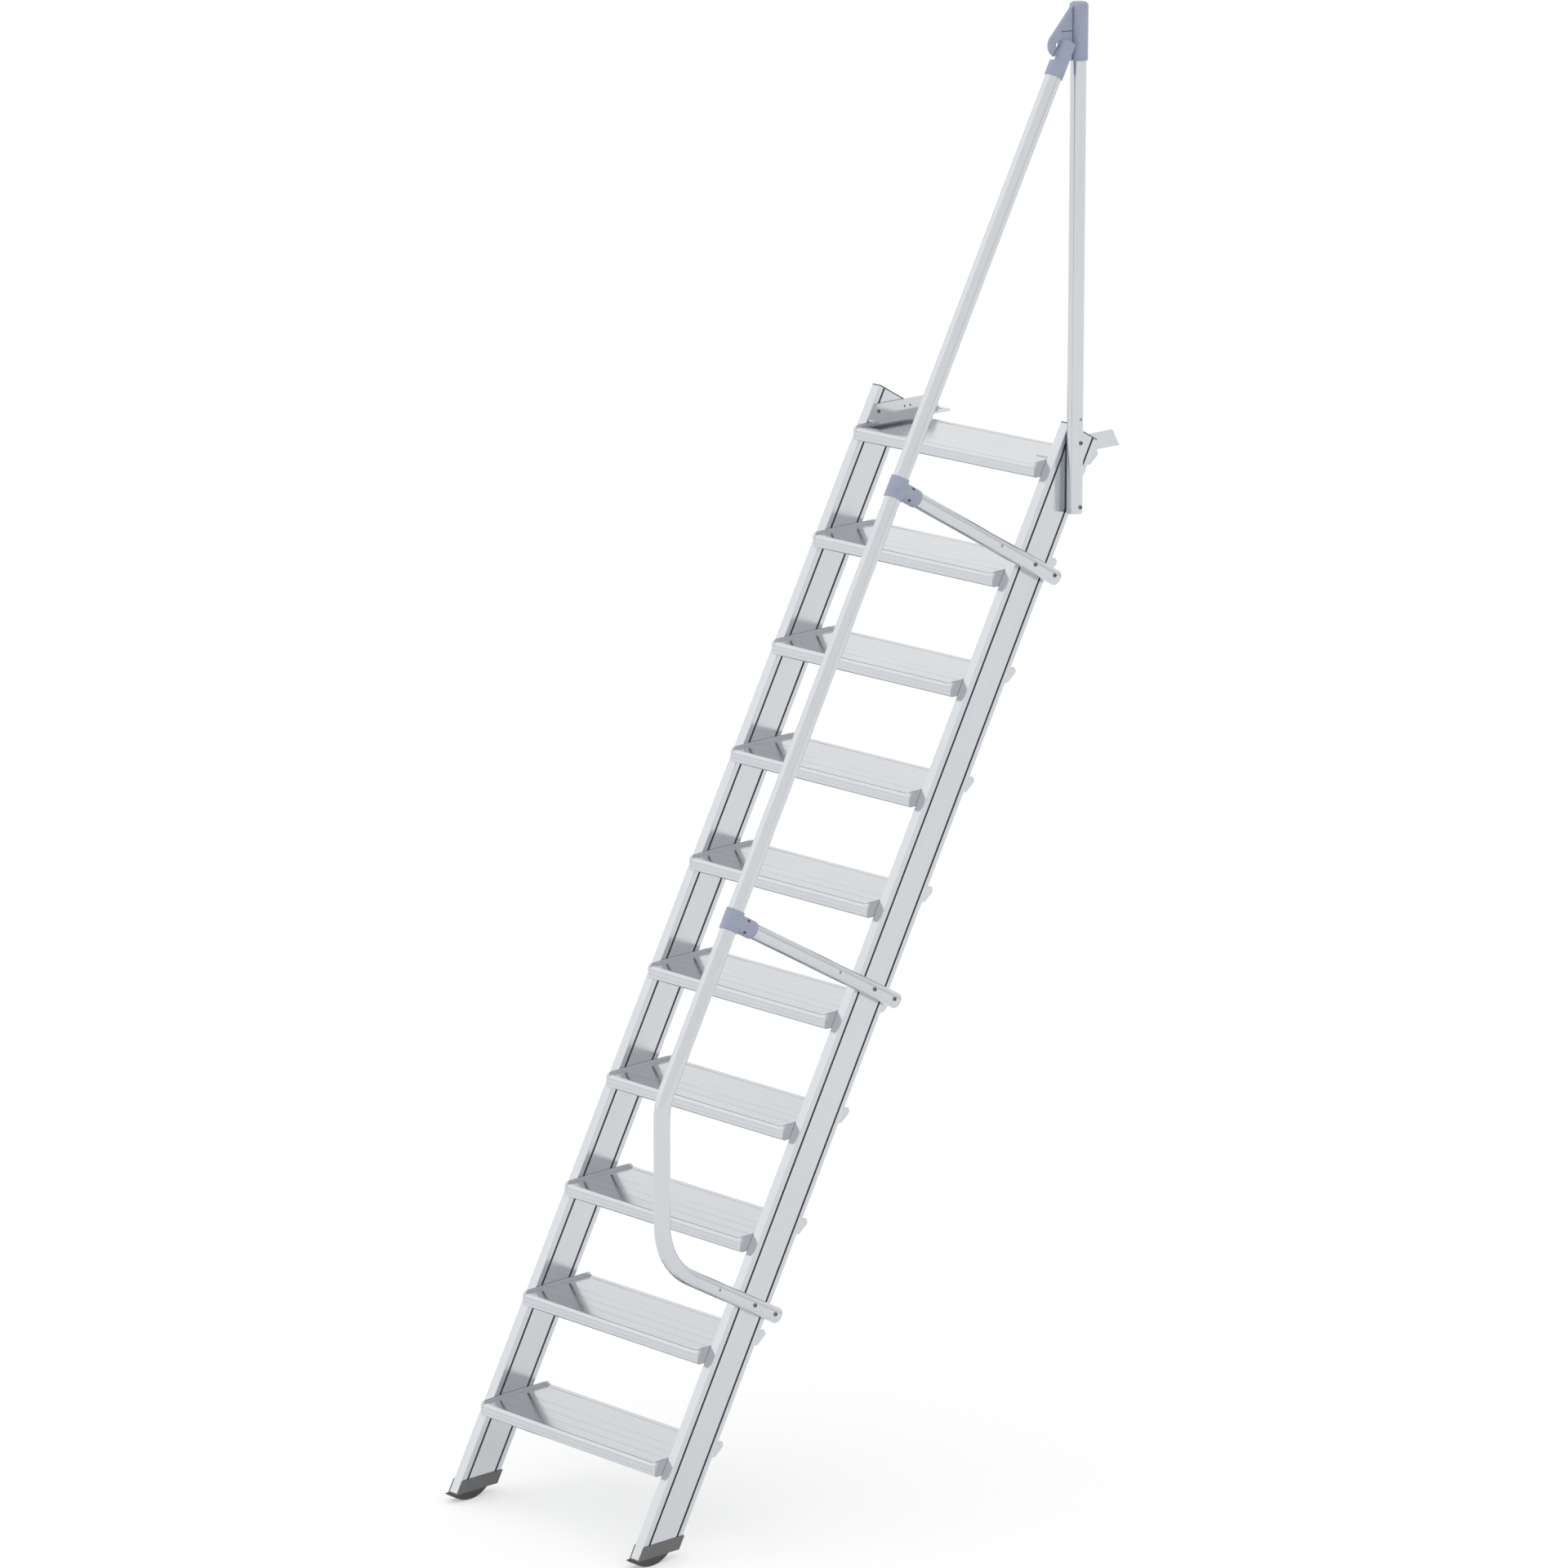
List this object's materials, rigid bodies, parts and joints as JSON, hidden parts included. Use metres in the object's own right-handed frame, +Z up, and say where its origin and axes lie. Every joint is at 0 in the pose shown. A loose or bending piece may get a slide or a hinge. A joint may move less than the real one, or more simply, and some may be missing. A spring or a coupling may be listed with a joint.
{
  "type": "aluminium stair with handrail",
  "caption": "Steep aluminium stair with ribbed treads between two raking stiles, a bent tube handrail on one side and rubber feet, hooked on a landing at the top.",
  "frame": {"origin": "underside of the left landing bracket's level leg, where it rests on the landing", "axes": "+Z up, +Y from the foot of the stair towards the landing, +X to the right when facing up the stair"},
  "size_m": [0.701, 1.5748, 3.464],
  "materials": {
    "stile": "satin mill-finished extrusion",
    "tread": "satin ribbed extrusion",
    "tube": "satin drawn tube",
    "tube_plug": "satin, pressed into the tube's end",
    "connector": "matt blue-grey cast connector",
    "shoe": "matt dark grey moulding",
    "pad": "matt rubber",
    "stile_cap": "matt grey cap",
    "bracket": "satin angle section"
  },
  "bodies": {
    "root": {"stile_left": "stile", "stile_right": "stile", "tread_01": "tread", "tread_02": "tread", "tread_03": "tread", "tread_04": "tread", "tread_05": "tread", "tread_06": "tread", "tread_07": "tread", "tread_08": "tread", "tread_09": "tread", "tread_10": "tread", "handrail": "tube", "rail_post": "tube", "strut_lower": "tube", "strut_upper": "tube", "strut_plug_lower": "tube_plug", "strut_plug_upper": "tube_plug", "rail_plug": "tube_plug", "post_plug": "tube_plug", "rail_clamp_lower": "connector", "rail_clamp_upper": "connector", "post_head": "connector", "rail_knuckle": "connector", "shoe_left": "shoe", "shoe_right": "shoe", "pad_left": "pad", "pad_right": "pad", "stile_cap_left": "stile_cap", "stile_cap_right": "stile_cap", "landing_bracket_left": "bracket", "landing_bracket_right": "bracket"}
  },
  "joints": []
}
